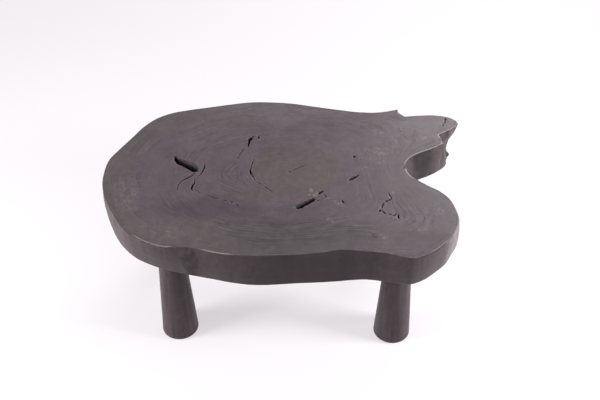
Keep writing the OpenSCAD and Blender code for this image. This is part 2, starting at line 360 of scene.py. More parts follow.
class PoreSpeckle(SharedEffect):
    """The fine open pores of the wood, and a slow mottle of the stain that lies in them."""

    title = "pore_speckle"
    takes = {"Place": ("Vector", (0.0, 0.0, 0.0)), "Scale": ("Float", 900.0)}
    gives = ("Pores", "Mottle")

    def wire(self, bench: NodeBench, given: bpy.types.NodeOutputs) -> tuple[Feed, ...]:
        """Fine noise cut to specks, and mid noise left soft."""
        specks = bench.step(bench.noise(given["Place"], given["Scale"], 2.0), 0.60, 0.72)
        mottle = bench.noise(given["Place"], bench.times(given["Scale"], 0.06), 4.0, 0.65)
        return specks, mottle


class EdgeWear(SharedEffect):
    """Wear that keeps near an edge and comes and goes along it."""

    title = "edge_wear"
    takes = {
        "Distance": ("Float", 0.0),
        "Width": ("Float", 0.004),
        "Place": ("Vector", (0.0, 0.0, 0.0)),
        "Cover": ("Float", 0.5),
    }
    gives = ("Wear",)

    def wire(self, bench: NodeBench, given: bpy.types.NodeOutputs) -> tuple[Feed, ...]:
        """A band beside the edge, with a ragged border, broken by slow noise."""
        ragged = bench.minus(bench.noise(given["Place"], 260.0, 3.0), 0.5)
        away = bench.math("ABSOLUTE", given["Distance"])
        away = bench.scaled(bench.times(ragged, given["Width"]), 1.2, away)
        band = bench.step(away, bench.times(given["Width"], 0.45), given["Width"], 1.0, 0.0)
        gaps = bench.noise(given["Place"], 24.0, 3.0, 0.6)
        threshold = bench.minus(0.78, bench.times(given["Cover"], 0.5))
        kept = bench.step(gaps, threshold, bench.math("ADD", threshold, 0.12))
        return (bench.times(band, kept),)


RINGS = GrowthRings()
STREAKS = LongStreaks()
PORES = PoreSpeckle()
WEAR = EdgeWear()


@dataclass(frozen=True)
class Finish:
    """What every finish starts from.

    Attributes:
        name: name of the material.
        roughness: roughness of the surface, 0 to 1.
        specular: strength of its gloss, 0.5 being that of varnish.
        relief: depth of its bump, in metres.
        metallic: 1 for metal, 0 for anything else.
        sheen: strength of the sheen of its fibres.
        swing: how far the roughness varies to either side.
    """

    name: str
    roughness: float = 0.5
    specular: float = 0.4
    relief: float = 0.0003
    metallic: float = 0.0
    sheen: float = 0.0
    swing: float = 0.08

    def material(self) -> bpy.types.Material:
        """Builds the material."""
        material = bpy.data.materials.new(self.name)
        material.use_nodes = True
        bench = NodeBench(material.node_tree)
        colour, height, gloss = self.look(bench, bench.place())
        low, high = self.roughness - self.swing, self.roughness + self.swing
        feeds = {
            "Base Color": colour,
            "Roughness": bench.step(gloss, 0.2, 0.8, low, high),
            "Normal": bench.node("Bump", {"Height": height, "Distance": self.relief}).outputs[0],
            "Specular IOR Level": self.specular,
            "Metallic": self.metallic,
            "Sheen Weight": self.sheen,
        }
        shader = next(node for node in material.node_tree.nodes if node.type == "BSDF_PRINCIPLED")
        for name, feed in feeds.items():
            bench.wire(shader.inputs[name], feed)
        return material

    def look(self, bench: NodeBench, place: Feed) -> Look:
        """Wires what is the finish's own.

        Args:
            bench: the bench of the material's tree.
            place: the Object coordinates.

        Returns:
            Its colour, its relief of 0 to 1, and noise of 0 to 1 that makes its roughness vary.
        """
        raise NotImplementedError


@dataclass(frozen=True)
class Patch:
    """A soft-edged patch on the top face or, seen from above, on the bark side.

    Attributes:
        x: where its middle lies.
        y: where its middle lies.
        wide: half its width along X.
        deep: half its depth along Y.
        turn: how far it is turned, in degrees.
        strength: how strong it is.
        core: share of it that is at full strength, before its edge fades.
    """

    x: float
    y: float
    wide: float
    deep: float
    turn: float = 0.0
    strength: float = 1.0
    core: float = 0.25

    def mask(self, bench: NodeBench, place: Feed) -> Socket:
        """How much of the patch lies at a place."""
        moved = bench.vector("SUBTRACT", place, (self.x, self.y, 0.0))
        turn = -math.radians(self.turn)
        scaled = bench.stretched(moved, (1 / self.wide, 1 / self.deep, 0.0), turn)
        away = bench.node("VectorMath", {0: scaled}, operation="LENGTH").outputs["Value"]
        return bench.step(away, self.core, 1.0, self.strength, 0.0)


def patches_of(*rows: tuple[float, ...]) -> tuple[Patch, ...]:
    """Patches from rows of x, y, half width and half depth in millimetres, then turn, strength and core."""
    return tuple(Patch(*(size / 1000 for size in row[:4]), *map(float, row[4:])) for row in rows)


def patched(
    bench: NodeBench, place: Feed, patches: Iterable[Patch], stray: float = 0.05, scale: float = 30.0
) -> Socket:
    """The strongest of several patches at a place, with borders broken by noise.

    Args:
        bench: the bench of the material's tree.
        place: where the patches are looked up.
        patches: the patches.
        stray: how far their borders stray, in metres.
        scale: scale of the noise that breaks them.

    Returns:
        The strength, 0 to 1.
    """
    wobble = bench.node("TexNoise", {"Vector": place, "Scale": scale, "Detail": 3.0}).outputs["Color"]
    offset = bench.vector("MULTIPLY", bench.vector("SUBTRACT", wobble, (0.5, 0.5, 0.5)), (stray, stray, 0.0))
    moved = bench.vector("ADD", place, offset)
    total: Socket | None = None
    for patch in patches:
        mask = patch.mask(bench, moved)
        total = bench.math("MAXIMUM", total, mask) if total else mask
    return total


def worn_rim(bench: NodeBench, place: Feed, rim: Feed) -> Socket:
    """How much of the stain is rubbed off beside the rim: a broken line along some stretches of it."""
    line = WEAR.use(bench, distance=rim, width=0.0024, place=place, cover=0.95)["Wear"]
    return bench.times(line, patched(bench, place, RUBBED_RIMS, 0.01))


def torn(bench: NodeBench, place: Feed) -> Socket:
    """How charred a place is: black in the middle of a scar, with a ragged border."""
    ragged = bench.minus(bench.noise(place, 190.0, 4.0, 0.7), 0.5)
    middle = bench.scaled(ragged, 1.6, bench.attribute("scar"))
    return bench.step(middle, 0.10, 0.55, 0.0, 0.95)


@dataclass(frozen=True)
class SandedTop(Finish):
    """The sanded, black-stained top face: growth rings, sapwood, pale scuffs and a worn rim."""

    ring_wood: Colour = (0.088, 0.068, 0.078)
    heart_wood: Colour = (0.085, 0.067, 0.067)
    sap_wood: Colour = (0.087, 0.073, 0.074)
    grey_shaded_wood: Colour = (0.062, 0.051, 0.057)
    deep_wood: Colour = (0.060, 0.047, 0.057)
    painted_sheen_wood: Colour = (0.128, 0.102, 0.116)
    dark_line: Colour = (0.020, 0.015, 0.018)
    worn: Colour = (0.26, 0.230, 0.220)
    scuffed: Colour = (0.165, 0.140, 0.148)
    chipped: Colour = (0.24, 0.210, 0.185)

    def look(self, bench: NodeBench, place: Feed) -> Look:
        """Wood of several tones with its rings, painted shade along the front and a painted sheen along the
        back, then the knot, scuffs, chips, pores and worn edges.
        """
        growth, rim, crack = (bench.attribute(name) for name in ("growth", "rim", "crack"))
        rings = RINGS.use(bench, growth=growth, place=place, rings=RINGS_ACROSS, streak=2.4)
        pores = PORES.use(bench, place=place, scale=900.0)
        swell = bench.minus(bench.noise(place, 6.0, 3.0), 0.5)

        colour = bench.blend(patched(bench, place, HEART, 0.025, 12.0), self.ring_wood, self.heart_wood)
        # Greyer and darker along the front: partly grey wood, partly painted shade.
        colour = bench.blend(patched(bench, place, GREY_AND_SHADED_FRONT, 0.07, 9.0), colour, self.grey_shaded_wood)
        colour = bench.blend(patched(bench, place, DEEP, 0.08, 9.0), colour, self.deep_wood)
        colour = bench.blend(self.sap_mask(bench, place, rim, swell), colour, self.sap_wood)
        # Paler along the back: painted sheen.
        colour = bench.blend(patched(bench, place, PAINTED_SHEEN_BACK, 0.06, 9.0), colour, self.painted_sheen_wood)
        cloud = bench.step(bench.noise(place, 16.0, 3.0, 0.6), 0.3, 0.7, 0.92, 1.08)
        colour = bench.shade(colour, cloud)

        shows = bench.step(bench.noise(place, 11.0, 2.0), 0.40, 0.62, 0.15, 1.0)
        bold = bench.scaled(patched(bench, place, GRAINED, 0.07, 10.0), 0.9, 1.0)
        shows = bench.times(shows, bold)
        tone = bench.step(rings["Tone"], 0.3, 0.7, -0.08, 0.08)
        colour = bench.shade(colour, bench.scaled(tone, shows, 1.0))
        for line, start, end, strength, wood in (
            (rings["Streaks"], 0.50, 0.70, 0.28, self.dark_line),
            (rings["Streaks"], 0.46, 0.28, 0.23, self.scuffed),
            (rings["Hairlines"], 0.0, 1.0, 0.40, self.dark_line),
            (rings["Late wood"], 0.0, 1.0, 0.06, self.dark_line),
        ):
            share = bench.times(bench.step(line, start, end, 0.0, strength), shows, clamp=True)
            colour = bench.blend(share, colour, wood)
        mottle = bench.step(pores["Mottle"], 0.3, 0.72, 0.90, 1.10)
        colour = bench.shade(colour, mottle)

        colour = bench.blend(patched(bench, place, (KNOT,), 0.006, 200.0), colour, self.dark_line)

        flecks = bench.step(bench.noise(place, 80.0, 4.0, 0.7), 0.46, 0.64)
        rubbed = bench.times(patched(bench, place, SCUFFS), flecks)
        colour = bench.blend(rubbed, colour, self.scuffed)
        grit = bench.step(bench.noise(place, 480.0, 3.0, 0.7), 0.36, 0.60, 0.25, 0.95)
        chips = bench.times(patched(bench, place, CHIPS, 0.014, 300.0), grit)
        colour = bench.blend(chips, colour, self.chipped)

        colour = bench.blend(bench.times(pores["Pores"], 0.30), colour, self.dark_line)
        lip = bench.times(bench.step(crack, 0.0050, 0.0025, 0.0, 0.26), flecks)
        colour = bench.blend(lip, colour, self.chipped)
        # Darker along each crack's edge on the top face: painted shade at the crack's mouth.
        colour = bench.blend(bench.step(crack, 0.0, 0.0022, 0.50, 0.0), colour, self.dark_line)
        colour = bench.blend(worn_rim(bench, place, rim), colour, self.worn)
        colour = bench.blend(torn(bench, place), colour, self.dark_line)

        relief = bench.scaled(rings["Tone"], 0.5, bench.times(pores["Pores"], -0.5))
        relief = bench.scaled(pores["Mottle"], 0.6, relief)
        return colour, relief, pores["Mottle"]

    def sap_mask(self, bench: NodeBench, place: Feed, rim: Feed, swell: Feed) -> Socket:
        """Where the paler sapwood shows: a band along the left end and the front left, with a pale seam."""
        side = bench.node("SeparateXYZ", {0: place}).outputs[0]
        width = bench.step(side, -0.40, -0.05, 0.062, 0.115)
        inward = bench.minus(bench.scaled(swell, 0.06, rim), width)
        band = bench.step(inward, -0.010, 0.006, 1.0, 0.0)
        seam = bench.step(bench.math("ABSOLUTE", inward), 0.0006, 0.0035, 0.6, 0.0)
        shows = bench.step(side, -0.22, 0.04, 0.85, 0.20)
        return bench.times(bench.math("MAXIMUM", band, seam), shows)


@dataclass(frozen=True)
class BarkSide(Finish):
    """The peeled and blackened bark side, with faint flutes up and down it."""

    base: Colour = (0.063, 0.048, 0.052)
    pale: Colour = (0.078, 0.062, 0.067)
    dark: Colour = (0.020, 0.016, 0.018)
    charred: Colour = (0.008, 0.007, 0.008)
    bare: Colour = (0.132, 0.105, 0.103)
    bleached: Colour = (0.250, 0.226, 0.236)
    worn: Colour = (0.26, 0.230, 0.220)

    def look(self, bench: NodeBench, place: Feed) -> Look:
        """Flutes and streaks, then rubbed, bleached, stained and torn spots, with painted shade under the
        front rim among the stains.
        """
        upright = bench.vector("MULTIPLY", place, (1.0, 1.0, 0.14))
        streaks = STREAKS.use(bench, place=upright, scale=42.0, sharpness=1.2)
        pores = PORES.use(bench, place=place, scale=800.0)
        colour = bench.blend(bench.step(streaks["Streaks"], 0.45, 0.85, 0.0, 0.7), self.base, self.pale)
        colour = bench.blend(bench.step(streaks["Streaks"], 0.5, 0.15, 0.0, 0.42), colour, self.dark)
        colour = bench.blend(bench.times(streaks["Hairlines"], 0.15), colour, self.dark)
        mottle = bench.step(pores["Mottle"], 0.3, 0.72, 0.84, 1.16)
        colour = bench.shade(colour, mottle)
        smears = bench.step(bench.noise(upright, 60.0, 4.0, 0.7), 0.44, 0.62)
        bared = bench.times(patched(bench, place, BARED), smears)
        colour = bench.blend(bared, colour, self.bare)
        streaked = bench.step(bench.noise(upright, 120.0, 4.0, 0.7), 0.40, 0.60, 0.38, 0.74)
        bleached = bench.times(patched(bench, place, BLEACHED, 0.03), streaked)
        colour = bench.blend(bleached, colour, self.bleached)
        # Darker patches: real stains, and partly painted shade under the front rim.
        colour = bench.blend(patched(bench, place, STAINS_AND_SHADE), colour, self.dark)
        colour = bench.blend(torn(bench, place), colour, self.charred)
        rim = bench.attribute("rim")
        colour = bench.blend(worn_rim(bench, place, rim), colour, self.worn)
        relief = bench.scaled(pores["Mottle"], 0.5, bench.times(streaks["Streaks"], 0.6))
        relief = bench.scaled(pores["Pores"], -0.2, relief)
        return colour, relief, pores["Mottle"]


@dataclass(frozen=True)
class CharredHollow(Finish):
    """The inside of the drying cracks: dark, dry and ragged."""

    base: Colour = (0.062, 0.053, 0.056)
    edge: Colour = (0.125, 0.105, 0.103)

    def look(self, bench: NodeBench, place: Feed) -> Look:
        """Dark wood, paler in spots and along its lip."""
        pores = PORES.use(bench, place=place, scale=500.0)
        colour = bench.blend(bench.step(pores["Mottle"], 0.5, 0.9), self.base, self.edge)
        lip = WEAR.use(bench, distance=bench.attribute("crack"), width=0.003, place=place, cover=0.4)["Wear"]
        colour = bench.blend(lip, colour, self.edge)
        return colour, pores["Mottle"], pores["Mottle"]


@dataclass(frozen=True)
class SawnUnderside(Finish):
    """The sawn underside: the same rings, dull, crossed by the saw's marks and dusty."""

    base: Colour = (0.060, 0.048, 0.051)
    dark: Colour = (0.022, 0.017, 0.019)
    dust: Colour = (0.15, 0.135, 0.125)

    def look(self, bench: NodeBench, place: Feed) -> Look:
        """Rings under the saw's marks, with dust on them."""
        growth = bench.attribute("growth")
        rings = RINGS.use(bench, growth=growth, place=place, rings=RINGS_ACROSS, streak=2.4)
        across = bench.stretched(place, (1.0, 0.03, 1.0), math.radians(11))
        marks = STREAKS.use(bench, place=across, scale=150.0, sharpness=1.6)
        pores = PORES.use(bench, place=place, scale=800.0)
        tone = bench.step(rings["Tone"], 0.3, 0.7, 0.75, 1.25)
        colour = bench.shade(self.base, tone)
        colour = bench.blend(bench.times(marks["Streaks"], 0.5), colour, self.dark)
        colour = bench.blend(bench.step(pores["Mottle"], 0.55, 0.85, 0.0, 0.3), colour, self.dust)
        relief = bench.scaled(marks["Streaks"], 1.0, bench.times(rings["Tone"], 0.3))
        return colour, relief, pores["Mottle"]


@dataclass(frozen=True)
class BoredSocket(Finish):
    """Wood bared by the auger inside the leg sockets."""

    base: Colour = (0.16, 0.095, 0.055)
    dark: Colour = (0.05, 0.03, 0.02)

    def look(self, bench: NodeBench, place: Feed) -> Look:
        """Bared wood with the auger's turns."""
        level = bench.vector("MULTIPLY", place, (0.1, 0.1, 1.0))
        turns = STREAKS.use(bench, place=level, scale=400.0, sharpness=1.4)
        pores = PORES.use(bench, place=place, scale=800.0)
        colour = bench.blend(bench.step(pores["Mottle"], 0.3, 0.8), self.base, self.dark)
        return colour, turns["Streaks"], pores["Mottle"]


@dataclass(frozen=True)
class TurnedWood(Finish):
    """The legs' black-stained turned wood: grain up and down, faint rings of the gouge, a worn foot."""

    base: Colour = (0.058, 0.0425, 0.048)
    pale: Colour = (0.086, 0.064, 0.072)
    dark: Colour = (0.018, 0.013, 0.015)
    worn: Colour = (0.13, 0.105, 0.10)

    def look(self, bench: NodeBench, place: Feed) -> Look:
        """Upright grain and pores, crossed by the gouge's rings, with a worn foot."""
        upright = bench.vector("MULTIPLY", place, (1.0, 1.0, 0.05))
        grain = STREAKS.use(bench, place=upright, scale=95.0, sharpness=1.7)
        level = bench.vector("MULTIPLY", place, (0.08, 0.08, 1.0))
        turning = STREAKS.use(bench, place=level, scale=160.0, sharpness=1.2)
        pores = PORES.use(bench, place=upright, scale=1200.0)
        mottle = PORES.use(bench, place=place, scale=600.0)["Mottle"]
        colour = bench.blend(bench.step(grain["Streaks"], 0.48, 0.88, 0.0, 0.62), self.base, self.pale)
        colour = bench.blend(bench.step(grain["Streaks"], 0.5, 0.15, 0.0, 0.46), colour, self.dark)
        colour = bench.blend(bench.times(turning["Hairlines"], 0.12), colour, self.dark)
        colour = bench.blend(bench.times(pores["Pores"], 0.28), colour, self.dark)
        shade = bench.step(mottle, 0.3, 0.72, 0.82, 1.18)
        colour = bench.shade(colour, shade)
        worn = WEAR.use(bench, distance=bench.attribute("rim"), width=0.005, place=place, cover=0.35)["Wear"]
        colour = bench.blend(bench.times(worn, 0.7), colour, self.worn)
        relief = bench.scaled(turning["Streaks"], 0.5, grain["Streaks"])
        relief = bench.scaled(pores["Pores"], -0.3, relief)
        return colour, relief, mottle


@dataclass(frozen=True)
class PressedFelt(Finish):
    """Black pressed felt, matted and a little dusty."""

    sheen: float = 0.2
    base: Colour = (0.014, 0.013, 0.014)
    lint: Colour = (0.085, 0.078, 0.080)

    def look(self, bench: NodeBench, place: Feed) -> Look:
        """Matted fibres and lint."""
        fibres = STREAKS.use(bench, place=place, scale=900.0, sharpness=2.0)
        mottle = PORES.use(bench, place=place, scale=2500.0)["Mottle"]
        colour = bench.blend(bench.times(fibres["Hairlines"], 0.5), self.base, self.lint)
        colour = bench.blend(bench.step(mottle, 0.5, 0.9, 0.0, 0.4), colour, self.lint)
        return colour, fibres["Streaks"], mottle


@dataclass(frozen=True)
class ThreadMetal(Finish):
    """Metal of the fasteners, turned bright and tarnished in spots."""

    metallic: float = 1.0
    bright: Colour = (0.60, 0.60, 0.58)
    tarnished: Colour = (0.30, 0.29, 0.27)

    def look(self, bench: NodeBench, place: Feed) -> Look:
        """Turning marks, and tarnish in spots."""
        level = bench.vector("MULTIPLY", place, (0.15, 0.15, 1.0))
        turning = STREAKS.use(bench, place=level, scale=2200.0, sharpness=1.3)
        mottle = PORES.use(bench, place=place, scale=4000.0)["Mottle"]
        colour = bench.blend(bench.step(mottle, 0.4, 0.8), self.bright, self.tarnished)
        return colour, turning["Streaks"], mottle


# Brown heartwood round the pith.
HEART = patches_of(
    (25, 10, 128, 112, 0, 0.95, 0.7),
    (-90, -95, 90, 34, 0, 0.8, 0.4),
)
# Greyer, darker wood along the front: partly a greyer tone of the wood, partly painted shade where the top
# catches less sheen.
GREY_AND_SHADED_FRONT = patches_of(
    (10, -240, 270, 78, 0, 0.9, 0.5),
    (330, -240, 100, 50, 0, 0.6, 0.4),
)
# Darker wood round the heart.
DEEP = patches_of(
    (-190, -145, 190, 62, -5, 0.8, 0.35),
    (60, -160, 90, 50, 0, 0.5),
    (130, 170, 70, 50, 0, 0.3),
)
# Paler along the back: a painted sheen of the bright surroundings on the top.
PAINTED_SHEEN_BACK = patches_of(
    (-60, 280, 300, 85, -4, 0.55, 0.4),
    (-220, 170, 110, 80, 30, 0.35),
    (360, 215, 120, 60, 0, 0.25),
)
# The knot near the front.
KNOT = Patch(0.215, -0.238, 0.010, 0.010, 20.0, 0.85, 0.3)
# Where the rings and streaks show most.
GRAINED = patches_of(
    (10, -215, 300, 85, 0, 1, 0.5),
    (330, -150, 130, 120, 0, 0.9, 0.4),
    (170, 240, 260, 80, 0, 1, 0.5),
    (-60, 270, 180, 60, 0, 0.6),
)
# Scuffed and rubbed spots of the top.
SCUFFS = patches_of(
    (253, 168, 24, 18, 0, 0.85),
    (285, 126, 30, 14, 10, 0.95),
    (260, 122, 16, 16, 0, 0.85),
    (225, 88, 24, 24, 0, 0.75),
    (248, 94, 18, 16, 0, 0.85),
    (236, 50, 26, 22, 0, 0.85),
    (205, 23, 20, 16, 0, 0.75),
    (255, 100, 95, 60, 25, 0.4),
    (365, 140, 70, 12, 8, 0.8),
    (380, -122, 12, 12, 0, 0.85),
    (376, -152, 20, 12, 30, 0.85),
    (326, -212, 22, 18, 0, 0.9),
    (236, -235, 14, 22, 0, 0.75),
    (113, -187, 22, 26, 0, 0.65),
    (330, -170, 80, 70, 60, 0.35),
    (330, 190, 120, 60, 20, 0.4),
    (-400, -90, 50, 110, 15, 0.45),
    (-300, -220, 90, 40, -25, 0.4),
)
# Small bare spots beside the cracks.
CHIPS = patches_of(
    (64, -71, 6, 11.5, 0, 0.85),
    (60, -87, 5, 6.5, 0, 0.8),
    (73, -90, 8, 6, 0, 0.9),
    (80, -83, 5, 5, 0, 0.8),
    (107, -101, 7, 4, 0, 0.5),
    (124, -113, 9, 3.5, -10, 0.3),
    (133, -121, 10, 5, 0, 0.6),
    (142, -129, 6, 4, 0, 0.45),
    (271, -80, 5.5, 7, 0, 0.55),
    (261, -99, 4, 7, 0, 0.5),
    (250, -113, 6.5, 4, 40, 0.5),
    (236, -137, 3.5, 9, 10, 0.6),
    (268, -170, 8, 4, 20, 0.55),
    (285, -176, 4, 5, 0, 0.5),
    (217, -236, 6, 5, 0, 0.3),
)
# Darker spots on the bark side: real stains at the front left, in the notch and by a scar, and a broad band
# across the front middle that is partly a dark stain and partly painted shade under the rim.
STAINS_AND_SHADE = patches_of(
    (60, -300, 240, 60, 0, 0.63),
    (-228, -290, 26, 20, 0, 0.85),
    (362, 84, 50, 24, 25, 0.75),
    (440, 176, 12, 12, 0, 0.6),
)
# Rubbed spots of the bark side.
BARED = patches_of(
    (455, -165, 50, 120, 0, 0.9, 0.5),
    (400, -250, 60, 50, 30, 0.45),
    (455, 190, 40, 50, 0, 0.75, 0.5),
    (425, 110, 30, 40, 0, 0.5),
    (-420, -160, 60, 100, 30, 0.4),
)
# Pale streaks at the right end of the bark side.
BLEACHED = patches_of(
    (420, -202, 80, 40, 61, 1, 0.25),
)
# Stretches of the rim that are rubbed bare.
RUBBED_RIMS = patches_of(
    (-316, -262, 68, 22, -25, 0.65, 0.6),
    (-165, -298, 56, 20, -12, 0.8, 0.5),
    (0, -308, 80, 20, 0, 0.2),
    (373, -274, 42, 24, 40, 0.52, 0.5),
    (423, -160, 30, 90, 0, 0.25),
    (330, 40, 60, 90, -20, 1, 0.5),
    (390, 100, 70, 35, 25, 1, 0.5),
    (440, 175, 60, 40, 35, 1, 0.5),
)


class Zone(Enum):
    """The parts of the slab's surface, in the order of its material slots."""

    TOP = 0
    BARK = 1
    HOLLOW = 2
    UNDER = 3
    SOCKET = 4


@dataclass
class Dent:
    """A hollow pressed into the bark side.

    Attributes:
        place: its middle.
        reach: how far it spreads along the edge and up and down it.
        depth: how far it goes in.
    """

    place: Vector
    reach: Vector
    depth: float

    def share(self, point: Vector) -> float:
        """Share of the dent's depth that a point gets."""
        gap = point - self.place
        away = math.sqrt(sum((gap[i] / self.reach[i]) ** 2 for i in range(3)))
        return (1.0 - away * away) ** 2 if away < 1.0 else 0.0


def dents_of(*rows: tuple[float, ...]) -> tuple[Dent, ...]:
    """Dents from rows of their middle, their reach along each axis and their depth, in millimetres."""
    return tuple(
        Dent(Vector(size / 1000 for size in row[:3]), Vector(size / 1000 for size in row[3:6]), row[6] * MM)
        for row in rows
    )


@dataclass
class GrowthField:
    """How far out of the trunk each point of the slab grew: 0 at the pith, 1 under the bark.

    The wood is taken to swell from its centres as a loaded skin does, held at the outline.

    Attributes:
        outline: the top face's edge, as points of x and y.
        cell: width of the cells that it is worked out in.
        rounds: how often the cells are evened out.
        push: how far past even each round takes them, which makes them settle sooner.
        centres: x, y, strength and spread of the places that the wood grew from.
    """

    outline: np.ndarray
    cell: float = 5 * MM
    rounds: int = 500
    push: float = 1.96
    centres: tuple[tuple[float, float, float, float], ...] = (
        (0.017, 0.002, 26.0, 0.045),
        (-0.165, -0.022, 9.0, 0.035),
        (0.306, -0.190, 8.0, 0.035),
        (0.119, 0.194, 5.0, 0.030),
        (KNOT.x, KNOT.y, 34.0, 0.014),
    )

    def __post_init__(self) -> None:
        """Works the field out."""
        self.low = self.outline.min(0) - 2 * self.cell
        size = np.ceil((self.outline.max(0) + 2 * self.cell - self.low) / self.cell).astype(int)
        x, y = np.meshgrid(*(self.low[k] + self.cell * np.arange(size[k]) for k in (0, 1)), indexing="ij")
        inside = self.covers(x, y)
        load = np.ones_like(x)
        for cx, cy, strength, spread in self.centres:
            load += strength * np.exp(-((x - cx) ** 2 + (y - cy) ** 2) / spread**2)
        load *= self.cell**2
        skin = np.zeros_like(x)
        checker = np.add.outer(np.arange(size[0]), np.arange(size[1])) % 2
        for _ in range(self.rounds):
            for colour in (0, 1):
                near = np.zeros_like(skin)
                near[1:-1, 1:-1] = skin[2:, 1:-1] + skin[:-2, 1:-1] + skin[1:-1, 2:] + skin[1:-1, :-2]
                moved = inside & (checker == colour)
                skin[moved] += self.push * ((near + load)[moved] / 4 - skin[moved])
        self.field = np.sqrt(np.clip(1.0 - skin / skin.max(), 0.0, 1.0))

    def covers(self, x: np.ndarray, y: np.ndarray) -> np.ndarray:
        """Which points lie inside the outline."""
        crossings = np.zeros(x.shape, int)
        for (ax, ay), (bx, by) in zip(self.outline, np.roll(self.outline, -1, 0)):
            if ay != by:
                crossings += ((ay > y) != (by > y)) & (x < (bx - ax) * (y - ay) / (by - ay) + ax)
        return crossings % 2 == 1

    def at(self, place: Vector) -> float:
        """The growth at a place, evened between the four cells round it."""
        u, v = (np.array(place[:2]) - self.low) / self.cell
        i = int(np.clip(u, 0, self.field.shape[0] - 2))
        j = int(np.clip(v, 0, self.field.shape[1] - 2))
        s, t = np.clip((u - i, v - j), 0.0, 1.0)
        corner = self.field[i : i + 2, j : j + 2]
        return float(np.array((1 - s, s)) @ corner @ np.array((1 - t, t)))


@dataclass
class Slab:
    """The live-edge slab: its solid comes from the frame, and is cut fine, worn and cracked here.

    Attributes:
        coarse: spacing of the cuts on the underside.
        fine: spacing of the cuts on the top face and the bark side.
        splits: cuts that each edge beside a drying crack gets on top of these.
        margin: how far round a crack those go.
        flute_depth: depth of the bark side's flutes.
        flute_width: width of a flute.
        proud: how far the ribs between the flutes stand out from the solid.
        hollow_depth: depth of the sanded top's slow hollows.
        hollow_width: width of one of them.
        rag: how far a crack's walls stray from their line.
        rag_width: width of one swell of that straying.
        wide: width from which a crack narrows as it goes down.
        narrows: the most that each of its walls then comes in.
        deepest: depth that no crack passes, and the widest that one is taken to be.
        rag_share: the most that its walls stray, as a share of its width.
        narrow_share: the most that each wall comes in, as a share of that.
        below: least depth that its width is measured at.
        crack_pull: how far round a crack the wood follows its walls.
        bark_pull: how far the level faces follow the bark side.
        rim_clear: height beside the rims that gets no cut.
        lip: how far the wood dips at a crack.
        lip_width: how far round a crack it dips.
        chip_width: length of the stretches where it dips more or less.
        fall: how far the top's rim has been rubbed down.
        fall_width: how far in from the rim that reaches.
        fall_length: length of the stretches where the rim is rubbed more or less.
        dents: hollows in the bark side.
        scars: torn and charred spots in the bark side; those with a depth below 0 stand out.
    """

    coarse: float = 12 * MM
    fine: float = 6 * MM
    splits: int = 2
    margin: float = 2 * MM
    flute_depth: float = 1.2 * MM
    flute_width: float = 20 * MM
    proud: float = 0.8 * MM
    hollow_depth: float = 0.5 * MM
    hollow_width: float = 90 * MM
    rag: float = 1.3 * MM
    rag_width: float = 5 * MM
    wide: float = 6 * MM
    narrows: float = 7 * MM
    deepest: float = 60 * MM
    rag_share: float = 0.3
    narrow_share: float = 0.28
    below: float = 0.5 * MM
    crack_pull: float = 7 * MM
    bark_pull: float = 22 * MM
    rim_clear: float = 2 * MM
    lip: float = 0.7 * MM
    lip_width: float = 4 * MM
    chip_width: float = 6 * MM
    fall: float = 0.6 * MM
    fall_width: float = 14 * MM
    fall_length: float = 30 * MM
    dents: tuple[Dent, ...] = dents_of(
        (105, -300, 352, 110, 60, 22, 4),
        (466, 205, 325, 50, 50, 38, 5),
        (-300, -282, 362, 20, 30, 12, 2),
        (-230, -285, 366, 12, 30, 10, 2.5),
        (455, 192, 318, 22, 32, 22, 5),
        (448, 166, 326, 26, 34, 26, 9),
        (446, 142, 286, 22, 30, 18, 4),
        (460, 190, 301, 28, 28, 16, 11),
    )
    scars: tuple[Dent, ...] = dents_of(
        (449, 172, 295, 12, 18, 9, -8),
        (440, 150, 306, 10, 14, 12, 3),
        (313, 280, 364, 12, 12, 12, 0),
    )

    def __post_init__(self) -> None:
        """Takes the solid's box from the frame."""
        self.low, self.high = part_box("slab_top")
        self.under, self.top = self.low.z, self.high.z

    def build(self) -> bpy.types.Object:
        """Makes the slab and gives it its finishes."""
        bm = bmesh.new()
        bm.from_mesh(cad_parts["slab_top"].data)
        bmesh.ops.remove_doubles(bm, verts=bm.verts, dist=0.005 * MM)
        bm.normal_update()
        self.sort_zones(bm)
        self.clear_flats(bm)
        self.cut(bm)
        self.rub(bm)
        self.measure(bm)
        slab = as_object(bm, "slab", *self.finishes(), sharp=50)
        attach(slab, BODY)
        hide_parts("slab_top")
        return slab

    def sort_zones(self, bm: Mesh) -> None:
        """Marks each face with its zone, as its material number."""
        level, slack = 0.999, 0.01 * MM
        rest: dict[Face, None] = {}
        for face in bm.faces:
            height = face.calc_center_median().z
            if face.normal.z > level and height > self.top - slack:
                face.material_index = Zone.TOP.value
            elif face.normal.z < -level and height < self.under + slack:
                face.material_index = Zone.UNDER.value
            else:
                rest[face] = None
        while rest:
            run = [rest.popitem()[0]]
            for face in run:
                for edge in face.edges:
                    for near in edge.link_faces:
                        if near in rest:
                            del rest[near]
                            run.append(near)
            heights = [vert.co.z for face in run for vert in face.verts]
            if max(heights) < self.top - slack:
                zone = Zone.SOCKET
            elif min(heights) < self.under + slack:
                zone = Zone.BARK
            else:
                zone = Zone.HOLLOW
            for face in run:
                face.material_index = zone.value

    def faces(self, bm: Mesh, *zones: Zone) -> list[Face]:
        """The faces of some zones."""
        numbers = {zone.value for zone in zones}
        return [face for face in bm.faces if face.material_index in numbers]

    def clear_flats(self, bm: Mesh) -> None:
        """Joins the long triangles of the level faces, so that they don't show in the finer mesh."""
        flats = self.faces(bm, Zone.TOP, Zone.UNDER)
        level, verts, edges = math.radians(0.2), verts_of(flats), edges_of(flats)
        bmesh.ops.dissolve_limit(bm, angle_limit=level, verts=verts, edges=edges, delimit={"MATERIAL"})

